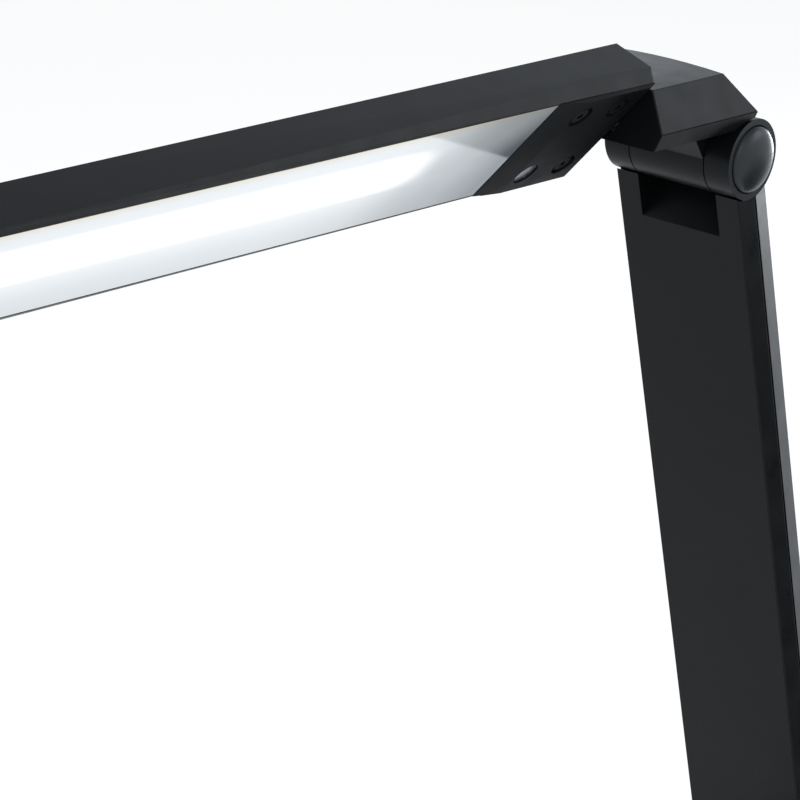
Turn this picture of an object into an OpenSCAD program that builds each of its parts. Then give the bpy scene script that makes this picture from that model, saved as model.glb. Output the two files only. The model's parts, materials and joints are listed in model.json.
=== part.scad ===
// Folding desk lamp: weighted base, flat arm, hinged neck and a long head that turns about its own length.
// The lamp stands on +Z up, with -Y to the front. It is modelled with the arm leaning forward,
// the neck raised and the head turned, as it is used over a desk.

/* [Base] */
// Width of the base, left to right
base_w = 170; // [150:1:200]
// Depth of the base, front to back
base_d = 190; // [175:1:230]
// Height of the top of the base above the table
base_top = 22; // [21:0.5:26]
// Corner radius of the base seen from above
base_corner = 24; // [14:1:30]
// Rounding of the top edge of the base cover
edge_round = 3; // [1.5:0.5:4]
// Wall of the base cover
cover_wall = 2.4; // [2:0.1:3]
// Thickness of the grip pad under the base
pad_t = 2; // [1.5:0.1:3]
// Thickness of the floor plate, over its pad recess
floor_t = 2; // [1.6:0.1:3]
// Thickness of the iron weight
weight_t = 7; // [4:0.5:8]
// Width of the touch panel
panel_w = 96; // [70:1:120]
// Depth of the touch panel
panel_d = 26; // [18:1:34]
// Thickness of the touch panel
panel_t = 1.2; // [1:0.1:1.6]
// Bore of the power inlet
inlet_bore = 5.7; // [5.5:0.1:6.5]

/* [Hinges] */
// Distance of the lower hinge from the back edge of the base
hinge_inset = 37; // [30:1:45]
// Height of the lower hinge above the top of the base
hinge_rise = 28; // [26:0.5:36]
// Radius of the hinge barrels
barrel_r = 13; // [12:0.25:14]
// Length of the hinge barrels, over the two outer knuckles
barrel_w = 47.6; // [46:0.2:50]
// Length of the middle segment of a barrel
centre_w = 28.2; // [26:0.2:29]
// Gap between neighbouring segments of a barrel
segment_gap = 0.4; // [0.3:0.05:0.6]
// Radius of the hinge shafts
shaft_r = 4; // [3:0.25:4.5]
// Radial running clearance of shafts and spindles
run_gap = 0.05; // [0.02:0.01:0.09]
// Thickness of the visible rim round the end caps
rim_t = 2; // [1.6:0.1:2.4]
// Width of the groove between rim and end cap
groove_w = 0.8; // [0.6:0.1:1.2]
// How far the edge of an end cap stands proud of the rim
cap_step = 1.4; // [0.6:0.1:2.4]
// Rise of the domed end caps over their edge
dome_h = 1.8; // [1:0.1:3]

/* [Arm] */
// Length of the arm from hinge to hinge
arm_l = 405; // [396:1:430]
// Width of the arm
arm_w = 47.2; // [46:0.2:50]
// Thickness of the arm
arm_t = 18.2; // [17.6:0.1:20]
// Wall of the arm shells
arm_wall = 2; // [1.6:0.1:2.2]
// How far each side of the rear shell draws in
rear_draft = 2.6; // [0:0.2:3]
// Forward lean of the arm, in degrees
arm_lean = 12.2; // [0:0.1:30]
// Gap between the arm shells and the hinge barrels
shell_gap = 0.6; // [0.4:0.1:1]
// Width of the pocket under the upper hinge
pocket_w = 30; // [29:0.2:31]
// Depth of the pocket's ramp below the hinge axis, at the front face
pocket_low = 25.4; // [24.5:0.1:27]

/* [Neck] */
// Tilt of the neck over the arm's front normal, in degrees
neck_tilt = 18.8; // [0:0.1:40]
// Distance of the neck's front end from the hinge axis
neck_front = 52.8; // [50:0.2:60]
// Distance of the top rear edge of the neck from the hinge axis
neck_shoulder = 14.9; // [13:0.1:18]
// Distance of the widest rear edge of the neck from the hinge axis
neck_rear = 1; // [0.6:0.1:3]
// Distance of the web's front edge from the hinge axis, under the neck
web_front = 20.7; // [18:0.1:22]
// Wall of the neck shells
neck_wall = 2; // [1.6:0.1:2.4]
// Thickness of the end plate where it covers the ends of the neck shells
plate_edge_t = 0.5; // [0.4:0.1:1]
// Width of the underside of neck and head
low_w = 44.6; // [43:0.2:46]
// Width of neck and head at the crease
crease_w = 49.4; // [48.6:0.2:51]
// Width of the top of neck and head
top_w = 39.3; // [37:0.1:41]
// Height of the underside over the hinge axis
low_h = 10.2; // [10:0.1:10.8]
// Height of the crease over the underside
crease_h = 5.6; // [5.3:0.1:6]
// Height of the top corners over the underside
corner_h = 18.5; // [18.2:0.1:20]
// Extra height of the top's crown
crown_h = 1; // [0.4:0.1:1.6]

/* [Head] */
// Length of the head
head_l = 300; // [285:1:305]
// Turn of the head about its length, in degrees
head_twist = 49.7; // [0:0.1:90]
// Gap between the neck and the head
head_gap = 0.7; // [0.5:0.1:1.2]
// Wall of the head housing
head_wall = 1.8; // [1.5:0.1:2]
// How far the tail cover stands proud of the diffuser
tail_step = 1.4; // [1:0.1:1.8]
// Length of the flat of the tail cover
tail_flat = 34.5; // [33:0.1:38]
// Length of the ramp from the tail cover to the diffuser
tail_ramp = 12.1; // [8:0.1:16]
// Depth of the shadow groove between the tail cover and the housing
tail_groove = 0.4; // [0.2:0.1:0.6]
// Radius of the round recesses in the tail cover
recess_r = 4.4; // [4:0.1:5]
// Distance of the recesses from the middle of the tail cover
recess_x = 14; // [13:0.1:15.5]
// How far the crease drops from the tail to the tip
crease_drop = 3.6; // [0:0.1:3.8]
// How far the top corners drop from the tail to the tip
corner_drop = 1.3; // [0:0.1:2]
// Radius of the spindle that the head turns on
spindle_r = 4; // [3.5:0.1:4.2]
// Thickness of the diffuser
diffuser_t = 1.7; // [1.4:0.1:2]
// Thickness of the light guide
guide_t = 3; // [2.5:0.1:3.2]
// Number of light-emitting diodes along each edge
led_count = 30; // [10:1:40]

/* [Hidden] */
$fn = 64;

charcoal = [0.16, 0.165, 0.175];
black = [0.07, 0.07, 0.075];
steel = [0.66, 0.67, 0.69];
fit = 0.1;            // gap between parts that are fixed to each other
inf = 400;            // longer than any cut needs to be

// base, from the table up
floor_z = pad_t / 2;
floor_top = pad_t + floor_t;
weight_z = floor_top;
weight_top = weight_z + weight_t;
cover_under = base_top - cover_wall;
floor_inset = cover_wall + fit;
pad_inset = 10;
weight_inset = 16;
screw_r = 1.5;
screw_head_r = 3;
screw_head_t = 1.6;
hinge_z = base_top + hinge_rise;
hinge_back = base_d / 2 - hinge_inset;
post_y = hinge_back - 8;
floor_screw_l = 10;
panel_front = 14;
post_foot_w = 44;
post_foot_d = 50;
post_foot_t = 3.5;
post_screw_x = post_foot_w / 2 - 4.4;
post_screw_y = post_foot_d / 2 - 5;
panel_y = -base_d / 2 + panel_front + panel_d / 2;
board_w = 100;
board_d = 40;
board_t = 1.6;
board_z = weight_top + 3;
board_y = panel_y + 6;
chip_h = 3;
can_r = 2.5;
spacer_r = 2.6;
spacer_inset = 4;
inlet_w = 9;
inlet_h = 8;
inlet_l = 13;
inlet_z = weight_top + inlet_h / 2;
inlet_nose_r = inlet_h / 2 - 0.4;
inlet_pin_r = 1;
boss_r = 4;
boss_x = base_w / 2 - 12;
boss_y = base_d / 2 - 12;

// hinges
centre_x = centre_w / 2;
knuckle_x = centre_x + segment_gap;
end_x = barrel_w / 2;
rim_depth = 7;
web_x = end_x - rim_depth;
counter_r = barrel_r - rim_t;
bore_r = shaft_r + run_gap;
shaft_head_t = 2;
nut_t = 2.8;
nut_r = shaft_r * 1.6;
washer_r = shaft_r * 1.75;
washer_t = 0.5;
dome_r = counter_r - groove_w;

// arm
shell_cut_r = barrel_r + shell_gap;
arm_x = arm_w / 2;
arm_y = arm_t / 2;
seam = 0.2;
beam_x = arm_x - arm_wall - rear_draft;
beam_y = arm_y - arm_wall - 0.3;
beam_wall = 1.6;
yoke_reach = 46;
tongue_l = 22;
stem_in = pocket_w / 2 + 1.8;
stem_out = arm_x - arm_wall - fit - 0.8;
stem_y = beam_y - 0.1;
stem_back = arm_x - arm_wall - rear_draft - 0.1;
pocket_x = pocket_w / 2;
pocket_rise = 0.835;
pocket_wall = 1.5;
arm_screw_end = 70;
arm_screw_z = [arm_screw_end, arm_l / 2, arm_l - arm_screw_end];
cable_end = 32;
cable_r = 2.2;
arm_screw_head_t = 0.9;
arm_screw_sink = 0.3;

// neck and head, seen along their length: u across, h up from the underside
axis_h = 9.4;
twist_z = low_h + axis_h;
shoulder_run = (neck_shoulder - neck_rear) / (corner_h - crease_h);
head_a = neck_front + head_gap;
tip_l = 5;
tip_a = head_a + head_l - tip_l;
tail_l = tail_flat + tail_ramp;
tail_a = head_a + tail_l;
end_plate_t = 2;
shell_front = neck_front - plate_edge_t - fit;
bracket_t = 2;
bracket_w = 32;
bracket_rear = 24;
bush_flange_t = 2;
swivel_gap = 0.4;
swivel_washer_t = 0.8;
swivel_nut_t = 4;
flange_a = neck_front - end_plate_t - bracket_t - bush_flange_t;
washer_a = flange_a - swivel_gap - swivel_washer_t;
nut_a = washer_a - swivel_nut_t;
bush_r = spindle_r + 1.5;
flange_r = spindle_r + 3;
spindle_bore = spindle_r - 1.8;
pin_r = 1.1;
pin_overlap = 1.6;
pin_reach = 5;
block_w = 34;
block_l = 20;
block_top = 6.4;
block_foot_t = 4;
pin_circle = 8;
pin_turn = -45;
slot_r = pin_r + 0.2;
slot_spare = asin(slot_r / pin_circle) + 0.3;
face_h = tail_step - axis_h;
housing_wall_end = 1.8;
recess_depth = 1;
bevel_l = 2.5;
bevel_h = 0.9;
notch_x = 8.4;
notch_l = 0.5;
recess_near = head_a + 11;
recess_far = head_a + 29.7;
recess_spots = [[recess_x, recess_far], [recess_x, recess_near], [-recess_x, recess_near]];
plug_spot = [-recess_x, recess_far];
guide_x = crease_w / 2 - head_wall - 2.6;
reflector_t = 0.4;
spreader_t = 1.2;
spreader_z = face_h + diffuser_t + guide_t + 2 * fit + reflector_t;
fin_h = 3.3;
driver_w = 28;
driver_l = 66;
driver_gap = 12;
rebate_x = low_w / 2 - 0.3;

// frames of the moving bodies
module at_hinge() { translate([0, hinge_back, hinge_z]) rotate([arm_lean, 0, 0]) children(); }
module at_elbow() { at_hinge() translate([0, 0, arm_l]) children(); }
module at_neck() { at_elbow() rotate([-neck_tilt, 0, 0]) children(); }
module at_head() { at_neck() translate([0, 0, twist_z]) rotate([0, -head_twist, 0]) children(); }

// a rod along X
module cross_rod(r, x0, x1, sides = 64) {
  translate([x0, 0, 0]) rotate([0, 90, 0]) cylinder(r = r, h = x1 - x0, $fn = sides);
}
// a rod to the front, from distance a0 to a1
module fore_rod(r, a0, a1, sides = 64) {
  translate([0, -a0, 0]) rotate([90, 0, 0]) cylinder(r = r, h = a1 - a0, $fn = sides);
}
// an outline seen from the front, drawn out from distance a0 to a1
module fore_prism(a0, a1) {
  translate([0, -a0, 0]) rotate([90, 0, 0]) linear_extrude(a1 - a0) children();
}
// a side outline of distance to the front and height, drawn out over x0 to x1
module side_slab(x0, x1) {
  translate([x1, 0, 0]) rotate([90, 0, -90]) linear_extrude(x1 - x0) children();
}
// a side outline of Y and Z, drawn out over x0 to x1
module rear_slab(x0, x1) {
  translate([x0, 0, 0]) rotate([90, 0, 90]) linear_extrude(x1 - x0) children();
}
module box(x0, x1, y0, y1, z0, z1) {
  translate([x0, y0, z0]) cube([x1 - x0, y1 - y0, z1 - z0]);
}
module both_sides() {
  children();
  mirror([1, 0, 0]) children();
}
module rounded(w, d, r) {
  square([w - 2 * r, d], center = true);
  square([w, d - 2 * r], center = true);
  for (x = [-1, 1], y = [-1, 1]) translate([x * (w / 2 - r), y * (d / 2 - r)]) circle(r);
}
module screw(l, head_t = screw_head_t) {
  cylinder(r = screw_r, h = l);
  cylinder(r = screw_head_r, h = head_t);
}

// base
module base_outline(inset) { rounded(base_w - 2 * inset, base_d - 2 * inset, base_corner - inset); }

module grip_pad() {
  color(black) linear_extrude(pad_t) base_outline(pad_inset + fit);
}

module base_floor() {
  color(charcoal) difference() {
    translate([0, 0, floor_z]) linear_extrude(floor_top - floor_z) base_outline(floor_inset);
    translate([0, 0, floor_z - 1]) linear_extrude(pad_t - floor_z + 1) base_outline(pad_inset);
    for (x = [-boss_x, boss_x], y = [-boss_y, boss_y]) translate([x, y, floor_z - 1]) {
      cylinder(r = screw_r + run_gap, h = inf);
      cylinder(r = screw_head_r + fit, h = 1 + screw_head_t + run_gap);
    }
  }
}

module base_weight() {
  color(steel) translate([0, 0, weight_z]) difference() {
    linear_extrude(weight_t) base_outline(weight_inset);
    for (x = [-post_screw_x, post_screw_x], y = [-post_screw_y, post_screw_y])
      translate([x, post_y + y, -1]) cylinder(r = screw_r + run_gap, h = weight_t + 2);
  }
}

module cover_corner() {
  rotate_extrude($fn = 32) union() {
    square([base_corner - edge_round, base_top - floor_z]);
    square([base_corner, base_top - floor_z - edge_round]);
    translate([base_corner - edge_round, base_top - floor_z - edge_round]) circle(edge_round, $fn = 24);
  }
}

module base_cover() {
  color(charcoal) {
    difference() {
      translate([0, 0, floor_z]) hull()
        for (x = [-1, 1], y = [-1, 1])
          translate([x * (base_w / 2 - base_corner), y * (base_d / 2 - base_corner), 0]) cover_corner();
      translate([0, 0, -1]) linear_extrude(cover_under + 1) base_outline(cover_wall);
      translate([0, hinge_back, 0]) linear_extrude(inf) rounded(centre_w + 1, 2 * barrel_r + 1, 0.5);
      translate([0, panel_y, base_top - panel_t]) linear_extrude(inf) rounded(panel_w, panel_d, 4);
      translate([0, base_d / 2 + 1, inlet_z]) rotate([90, 0, 0])
        cylinder(r = inlet_nose_r + fit, h = cover_wall + 2);
    }
    for (x = [-boss_x, boss_x], y = [-boss_y, boss_y]) translate([x, y, floor_top]) difference() {
      cylinder(r = boss_r, h = cover_under - floor_top);
      translate([0, 0, -1]) cylinder(r = screw_r, h = floor_screw_l - 1);
    }
  }
}

module touch_panel() {
  color(black) translate([0, panel_y, base_top - panel_t])
    linear_extrude(panel_t) rounded(panel_w - 2 * fit, panel_d - 2 * fit, 4 - fit);
}

module control_board() {
  color("darkgreen") translate([0, board_y, board_z]) {
    linear_extrude(board_t) difference() {
      square([board_w, board_d], center = true);
      for (x = [-1, 1], y = [-1, 1])
        translate([x * (board_w / 2 - spacer_inset), y * (board_d / 2 - spacer_inset)]) circle(screw_r);
    }
    for (i = [-1, 0, 1]) translate([i * board_w * 0.3, 0, board_t])
      box(-board_w * 0.06, board_w * 0.06, -board_d * 0.35, -board_d * 0.05, 0, chip_h / 2);
    box(-board_w * 0.08, board_w * 0.08, board_d * 0.1, board_d * 0.3, board_t, board_t + chip_h * 0.7);
    for (i = [0.18, 0.28])
      translate([i * board_w, board_d * 0.22, board_t]) cylinder(r = can_r, h = chip_h);
  }
}

module board_spacers() {
  color("gold") for (x = [-1, 1], y = [-1, 1])
    translate([x * (board_w / 2 - spacer_inset), board_y + y * (board_d / 2 - spacer_inset), weight_top]) {
      cylinder(r = spacer_r, h = board_z - weight_top);
      cylinder(r = screw_r - run_gap, h = board_z + board_t - weight_top);
      translate([0, 0, board_z + board_t - weight_top]) cylinder(r = spacer_r, h = 1.4);
    }
}

module power_inlet() {
  color(black) translate([0, base_d / 2, inlet_z]) difference() {
    union() {
      box(-inlet_w / 2, inlet_w / 2, -inlet_l, -cover_wall - fit, -inlet_h / 2, inlet_h / 2);
      translate([0, -0.4, 0]) rotate([90, 0, 0]) cylinder(r = inlet_nose_r, h = cover_wall + 1);
    }
    difference() {
      translate([0, 1, 0]) rotate([90, 0, 0]) cylinder(r = inlet_bore / 2, h = inlet_l - 2);
      translate([0, -1.6, 0]) rotate([90, 0, 0]) cylinder(r = inlet_pin_r, h = inlet_l);
    }
  }
}

module floor_screws() {
  color(steel) for (x = [-boss_x, boss_x], y = [-boss_y, boss_y])
    translate([x, y, floor_z]) screw(floor_screw_l);
}

module hinge_post() {
  foot_z = weight_top;
  color(charcoal) difference() {
    union() {
      translate([0, post_y, foot_z]) linear_extrude(post_foot_t) rounded(post_foot_w, post_foot_d, 4);
      box(-centre_x, centre_x, hinge_back - barrel_r, hinge_back + barrel_r, foot_z, hinge_z);
      translate([0, hinge_back, hinge_z]) cross_rod(barrel_r, -centre_x, centre_x);
    }
    translate([0, hinge_back, hinge_z]) cross_rod(bore_r, -end_x, end_x);
    for (x = [-post_screw_x, post_screw_x], y = [-post_screw_y, post_screw_y])
      translate([x, post_y + y, foot_z - 1]) cylinder(r = screw_r + run_gap, h = post_foot_t + 2);
  }
}

module post_screws() {
  color(steel) for (x = [-post_screw_x, post_screw_x], y = [-post_screw_y, post_screw_y])
    translate([x, post_y + y, weight_z + 0.5]) {
      cylinder(r = screw_r, h = weight_t + post_foot_t - 0.5);
      translate([0, 0, weight_t + post_foot_t - 0.5]) cylinder(r = screw_head_r, h = screw_head_t);
    }
}

// hinge hardware, the same at both ends of the arm
module yoke_stem(x, top) {
  translate([0, 0, -yoke_reach]) linear_extrude(top + yoke_reach) polygon([
    [x, -stem_y], [stem_out, -stem_y], [stem_out, 0.6], [stem_back, stem_y], [x, stem_y]
  ]);
}
module yoke(low = false) {
  difference() {
    union() {
      both_sides() {
        cross_rod(barrel_r, knuckle_x, end_x);
        yoke_stem(stem_in, -barrel_r * 0.6);
        yoke_stem(0, -pocket_low - 6);
        intersection() {
          cross_rod(shell_cut_r - fit, stem_in, end_x - 0.3);
          box(0, end_x, -7, 7, -shell_cut_r, 0);
        }
      }
      box(-beam_x + beam_wall + fit, beam_x - beam_wall - fit,
        -beam_y + beam_wall + fit, beam_y - beam_wall - fit, -yoke_reach - tongue_l, -yoke_reach + 1);
    }
    both_sides() {
      cross_rod(counter_r, web_x, inf);
      cross_rod(bore_r, 0, inf);
    }
    cross_rod(shell_cut_r, -knuckle_x, knuckle_x);
    translate([0, 0, -inf / 2]) cylinder(r = cable_r + 0.4, h = inf / 2);
  }
}

module hinge_shaft() {
  cross_rod(shaft_r, -web_x - 3 * washer_t - nut_t - 0.4, web_x + shaft_head_t);
  cross_rod(nut_r, web_x, web_x + shaft_head_t);
}

module spring_stack() {
  difference() {
    for (i = [0, 1, 2]) translate([-web_x - (i + 1) * washer_t, 0, 0])
      cross_rod(washer_r - i * 0.4, 0, washer_t);
    cross_rod(bore_r, -inf, 0);
  }
}

module hinge_nut() {
  difference() {
    translate([-web_x - 3 * washer_t - nut_t, 0, 0]) cross_rod(nut_r, 0, nut_t, 6);
    cross_rod(bore_r, -inf, 0);
  }
}

module end_cap() {
  skirt_r = counter_r - run_gap;
  lip_x = end_x - 1;
  edge_x = end_x + cap_step;
  dome_bend = (dome_r * dome_r + dome_h * dome_h) / (2 * dome_h);
  difference() {
    union() {
      cross_rod(skirt_r, lip_x - 3, lip_x);
      cross_rod(dome_r, lip_x - 1, edge_x - 0.3);
      intersection() {
        translate([edge_x + dome_h - dome_bend, 0, 0]) sphere(dome_bend, $fn = 96);
        cross_rod(dome_r, edge_x - 0.3, inf);
      }
    }
    cross_rod(skirt_r - 1.6, 0, lip_x - 1.2);
    cross_rod(nut_r + 1, 0, end_x - 0.6);
  }
}

module lower_yoke() { color("dimgray") at_hinge() mirror([0, 0, 1]) yoke(); }
module lower_shaft() { color(steel) at_hinge() hinge_shaft(); }
module lower_springs() { color(steel) at_hinge() spring_stack(); }
module lower_nut() { color(steel) at_hinge() hinge_nut(); }
module lower_caps() { color(charcoal) at_hinge() both_sides() end_cap(); }
module upper_yoke() { color(charcoal) at_elbow() yoke(); }
module upper_shaft() { color(steel) at_elbow() hinge_shaft(); }
module upper_springs() { color(steel) at_elbow() spring_stack(); }
module upper_nut() { color(steel) at_elbow() hinge_nut(); }
module upper_caps() { color(charcoal) at_elbow() both_sides() end_cap(); }

// arm
module hinge_cuts() {
  cross_rod(shell_cut_r, -inf, inf);
  translate([0, 0, arm_l]) cross_rod(shell_cut_r, -inf, inf);
}

// ramp of the pocket as a height at distance y, measured from the upper hinge
function ramp_z(y) = -pocket_low + pocket_rise * (y + arm_y);

module arm_front_shell() {
  chamfer = 0.5;
  pocket_back = arm_y - arm_wall - 0.3;
  color(charcoal) at_hinge() difference() {
    union() {
      difference() {
        linear_extrude(arm_l) polygon([
          [-arm_x, -seam], [-arm_x, -arm_y + chamfer], [-arm_x + chamfer, -arm_y],
          [arm_x - chamfer, -arm_y], [arm_x, -arm_y + chamfer], [arm_x, -seam]
        ]);
        translate([0, 0, -1]) linear_extrude(arm_l + 2)
          translate([-arm_x + arm_wall, -arm_y + arm_wall]) square([arm_w - 2 * arm_wall, arm_t]);
      }
      translate([0, 0, arm_l]) rear_slab(-pocket_x - pocket_wall, pocket_x + pocket_wall) polygon([
        [-arm_y, ramp_z(-arm_y) - pocket_wall - 0.6],
        [pocket_back, ramp_z(pocket_back) - pocket_wall - 0.6],
        [pocket_back, 0], [-arm_y, 0]
      ]);
    }
    translate([0, 0, arm_l]) rear_slab(-pocket_x, pocket_x) polygon([
      [-arm_y - 1, ramp_z(-arm_y - 1)], [pocket_back - pocket_wall, ramp_z(pocket_back - pocket_wall)],
      [pocket_back - pocket_wall, 1], [-arm_y - 1, 1]
    ]);
    hinge_cuts();
  }
}

module arm_rear_shell() {
  outline = [
    [-arm_x, seam], [-arm_x + rear_draft - 0.2, arm_y - 0.6], [-arm_x + rear_draft + 0.6, arm_y],
    [arm_x - rear_draft - 0.6, arm_y], [arm_x - rear_draft + 0.2, arm_y - 0.6], [arm_x, seam]
  ];
  back_x = arm_x - arm_wall - rear_draft + 0.3;
  color(charcoal) at_hinge() difference() {
    union() {
      linear_extrude(arm_l) polygon(outline);
      linear_extrude(arm_l) translate([-arm_x + arm_wall + fit, -1.2])
        square([arm_w - 2 * arm_wall - 2 * fit, 2]);
    }
    translate([0, 0, -1]) linear_extrude(arm_l + 2) polygon([
      [-arm_x + arm_wall + fit + 0.5, -2], [-arm_x + arm_wall + fit + 0.5, 1], [-back_x, arm_y - arm_wall],
      [back_x, arm_y - arm_wall], [arm_x - arm_wall - fit - 0.5, 1], [arm_x - arm_wall - fit - 0.5, -2]
    ]);
    hinge_cuts();
    for (z = arm_screw_z) translate([0, arm_y + 1, z]) rotate([90, 0, 0]) {
      cylinder(r = screw_r + run_gap, h = 12);
      cylinder(r = screw_head_r + fit, h = 1 + arm_screw_head_t + arm_screw_sink + run_gap);
    }
  }
}

module arm_beam() {
  color("silver") at_hinge() difference() {
    box(-beam_x, beam_x, -beam_y, beam_y, yoke_reach, arm_l - yoke_reach);
    box(-beam_x + beam_wall, beam_x - beam_wall, -beam_y + beam_wall, beam_y - beam_wall, 0, arm_l);
    for (z = arm_screw_z) translate([0, inf, z]) rotate([90, 0, 0])
      cylinder(r = screw_r + run_gap, h = inf);
  }
}

module arm_cable() {
  color("dimgray") at_hinge() translate([0, 0, cable_end])
    cylinder(r = cable_r, h = arm_l - 2 * cable_end, $fn = 24);
}

module arm_screws() {
  reach = arm_y - beam_y + beam_wall + 1.2;
  color(steel) at_hinge() for (z = arm_screw_z) translate([0, arm_y - arm_screw_sink, z]) rotate([90, 0, 0])
    difference() {
      screw(reach, arm_screw_head_t);
      translate([0, 0, -1]) cylinder(r = 1.2, h = 1.8, $fn = 6);
    }
}

// neck and head share one six-sided outline, closed by a shallow crown
function crown(half, top, inset) = [
  for (i = [-3 : 3]) let (u = -half * i / 3) [u, top + (crown_h - inset * 0.05) * (1 - pow(u / half, 2))]
];
function section(inset, low, drop_crease, drop_corner) = concat(
  [[-low_w / 2 + inset, low + inset], [low_w / 2 - inset, low + inset],
   [crease_w / 2 - inset, crease_h - drop_crease + inset * 0.3]],
  crown(top_w / 2 - inset, corner_h - drop_corner - inset, inset),
  [[-crease_w / 2 + inset, crease_h - drop_crease + inset * 0.3]]
);

// outline of the neck from the side, drawn in by an inset
module neck_profile(inset) {
  run = inset * sqrt(1 + shoulder_run * shoulder_run);
  rise = corner_h + crown_h + 1 - crease_h;
  polygon([
    [shell_front + (inset > 0 ? 1 : 0), inset],
    [shell_front + (inset > 0 ? 1 : 0), crease_h + rise],
    [neck_rear + run + rise * shoulder_run, crease_h + rise],
    [neck_rear + run, crease_h],
    [neck_rear + (inset > 0 ? run : 0), inset]
  ]);
}

module neck_solid(inset) {
  translate([0, 0, low_h]) intersection() {
    fore_prism(-1, shell_front + (inset > 0 ? 1 : 0)) polygon(section(inset, 0, 0, 0));
    side_slab(-crease_w, crease_w) neck_profile(inset);
  }
}

module knuckle_scoop() {
  both_sides() cross_rod(shell_cut_r, centre_x + 0.2, inf);
}

module neck_lower_shell() {
  liner_r = shell_cut_r + 1.6;
  split_z = low_h + crease_h;
  color(charcoal) at_neck() difference() {
    union() {
      difference() {
        neck_solid(0);
        neck_solid(neck_wall);
      }
      intersection() {
        neck_solid(0);
        cross_rod(liner_r, -crease_w, crease_w);
      }
      side_slab(-centre_x, centre_x) polygon([
        [0, 0], [barrel_r, 0], [web_front, low_h], [web_front, low_h + neck_wall],
        [neck_rear, low_h + neck_wall]
      ]);
      cross_rod(barrel_r, -centre_x, centre_x);
    }
    box(-inf, inf, -inf, inf, split_z, inf);
    knuckle_scoop();
    cross_rod(bore_r, -inf, inf);
  }
}

module neck_upper_shell() {
  split_z = low_h + crease_h;
  color(charcoal) at_neck() difference() {
    neck_solid(0);
    neck_solid(neck_wall);
    box(-inf, inf, -inf, inf, -inf, split_z + 0.05);
    knuckle_scoop();
  }
}

module neck_end_plate() {
  color(black) at_neck() difference() {
    translate([0, 0, low_h]) {
      fore_prism(neck_front - end_plate_t, neck_front) polygon(section(neck_wall + fit, 0, 0, 0));
      fore_prism(neck_front - plate_edge_t, neck_front) polygon(section(0, 0, 0, 0));
    }
    translate([0, 0, twist_z]) fore_rod(bush_r + run_gap, 0, inf);
    translate([0, -neck_front + inf / 2, twist_z]) rotate([90, 0, 0])
      rotate([0, 0, pin_turn - slot_spare]) rotate_extrude(angle = 90 + 2 * slot_spare)
        translate([pin_circle - slot_r, 0]) square([2 * slot_r, inf]);
  }
}

module neck_bracket() {
  plate_a = neck_front - end_plate_t - bracket_t;
  floor_v = low_h + neck_wall;
  color("silver") at_neck() difference() {
    union() {
      box(-bracket_w / 2, bracket_w / 2, -plate_a - bracket_t, -bracket_rear, floor_v, floor_v + bracket_t);
      box(-bracket_w / 2, bracket_w / 2, -plate_a - bracket_t, -plate_a,
        floor_v, low_h + corner_h - neck_wall - fit);
    }
    translate([0, 0, twist_z]) fore_rod(bush_r + run_gap, 0, inf);
    box(-9, 9, -plate_a, -plate_a + 14, 0, floor_v + 5);
  }
}

module swivel_bush() {
  color("goldenrod") at_neck() translate([0, 0, twist_z]) difference() {
    union() {
      fore_rod(bush_r, flange_a, head_a - fit);
      fore_rod(flange_r, flange_a, flange_a + bush_flange_t);
    }
    fore_rod(spindle_r + run_gap, 0, inf);
  }
}

// head; h is measured from its turning axis
module stop_rod(r, a0, a1) {
  rotate([0, -pin_turn, 0]) translate([pin_circle, 0, 0]) fore_rod(r, a0, a1);
}
module head_section(inset, low, far) {
  translate([0, -axis_h])
    polygon(section(inset, low, crease_drop * far, corner_drop * far));
}
module head_shape(inset, low, a0, a1) {
  hull() {
    fore_prism(a0, a0 + 0.01) head_section(inset, low, (a0 - head_a) / head_l);
    fore_prism(a1 - 0.01, a1) head_section(inset, low, (a1 - head_a) / head_l);
  }
}

module head_housing() {
  inner_a = head_a + housing_wall_end;
  color(charcoal) at_head() difference() {
    head_shape(0, tail_step, head_a, tip_a);
    head_shape(head_wall, tail_step, inner_a, tip_a + 1);
    box(-low_w / 2 + head_wall, low_w / 2 - head_wall, -tip_a - 1, -inner_a, -inf, face_h + 4);
    box(-rebate_x, rebate_x, -tip_a - 1, -tail_a, -inf, face_h + diffuser_t + fit);
    fore_rod(spindle_r + run_gap, 0, inner_a + 1);
    stop_rod(pin_r + run_gap, 0, inner_a + 1);
  }
}

module head_tip() {
  color(charcoal) at_head() {
    difference() {
      head_shape(0, tail_step, tip_a + 0.05, tip_a + tip_l);
      box(-inf, inf, -inf, -tip_a - tip_l + 1.2, -inf, face_h + 0.8);
    }
    box(-14, 14, -tip_a - 0.1, -tip_a + 1.4, face_h + 9, face_h + 12);
  }
}

module tail_cover() {
  plug_x = low_w / 2 - head_wall - fit;
  plug_top = face_h + 2;
  groove_x = low_w / 2 + (crease_w - low_w) / 2 * tail_step / crease_h - tail_groove;
  color(charcoal) at_head() difference() {
    union() {
      intersection() {
        fore_prism(head_a, tail_a) head_section(0, 0, 0);
        side_slab(-crease_w, crease_w) polygon([
          [head_a + bevel_l, -axis_h], [head_a + tail_flat, -axis_h], [tail_a, face_h - 0.05],
          [head_a, face_h - 0.05], [head_a, -axis_h + bevel_h]
        ]);
      }
      box(-plug_x, plug_x, -tail_a + 0.1, -head_a - housing_wall_end - fit, face_h - 0.1, plug_top);
    }
    both_sides() box(groove_x, inf, -tail_a - 1, 0, face_h - tail_groove - 0.05, 0);
    box(-notch_x, notch_x, -head_a - notch_l, 0, -inf, face_h);
    for (spot = concat(recess_spots, [plug_spot])) translate([spot[0], -spot[1], -axis_h - 1]) {
      cylinder(r = recess_r, h = 1 + recess_depth);
      cylinder(r = screw_r + run_gap, h = inf);
    }
    stop_rod(pin_r + fit, 0, head_a + pin_reach + 1);
  }
}

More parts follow.
